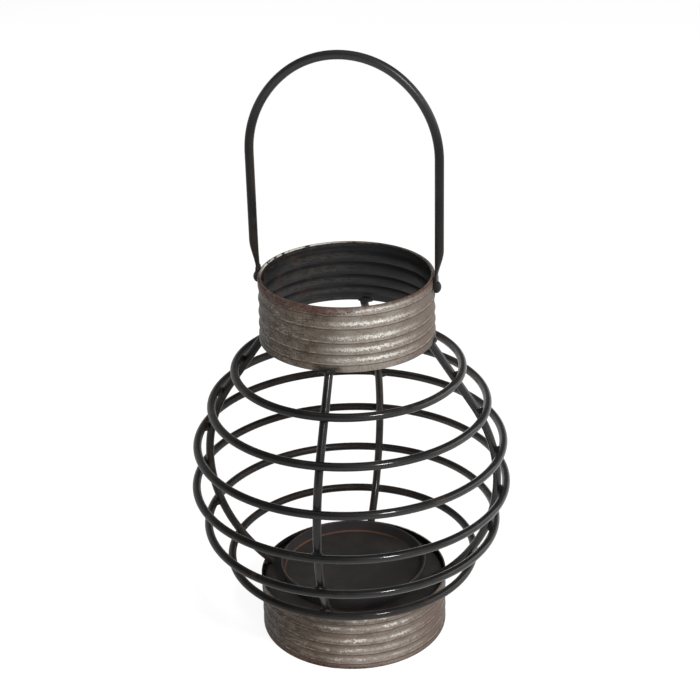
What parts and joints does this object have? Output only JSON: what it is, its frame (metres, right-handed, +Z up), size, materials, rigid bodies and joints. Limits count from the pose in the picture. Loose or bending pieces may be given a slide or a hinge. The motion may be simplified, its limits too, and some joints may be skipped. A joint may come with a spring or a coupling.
{
  "type": "candle lantern",
  "caption": "Round candle lantern: a globe of black wire between fluted galvanised collars, with a candle dish in the base and a swinging bail handle.",
  "frame": {"origin": "middle of the base, on the surface that the lantern stands on", "axes": "+Z up; +X towards the right rivet, along the axis that the handle swings about; +Y towards the back"},
  "size_m": [0.1884, 0.1884, 0.357],
  "materials": {
    "galvanised_steel": "scratched",
    "black_wire": "satin",
    "black_weld": "satin",
    "black_sheet": "satin",
    "worn_black_sheet": "worn",
    "rivet_steel": "satin"
  },
  "bodies": {
    "lantern": {"base_collar": "galvanised_steel", "top_collar": "galvanised_steel", "base_plate": "black_sheet", "candle_dish": "worn_black_sheet", "ring_1": "black_wire", "ring_2": "black_wire", "ring_3": "black_wire", "ring_4": "black_wire", "ring_5": "black_wire", "ring_6": "black_wire", "rib_right": "black_wire", "rib_back": "black_wire", "rib_left": "black_wire", "rib_front": "black_wire", "ring_1_welds": "black_weld", "ring_2_welds": "black_weld", "ring_3_welds": "black_weld", "ring_4_welds": "black_weld", "ring_5_welds": "black_weld", "ring_6_welds": "black_weld", "rib_foot_welds": "black_weld", "rib_top_welds": "black_weld", "handle_rivet_right": "rivet_steel", "handle_rivet_left": "rivet_steel"},
    "handle": {"bail_handle": "black_wire"}
  },
  "joints": [
    {"name": "handle_swing", "type": "hinge", "parent": "lantern", "child": "handle", "pos_m": [0, 0, 0.22467], "axis": [1, 0, 0], "range_deg": [-134, 134]}
  ]
}
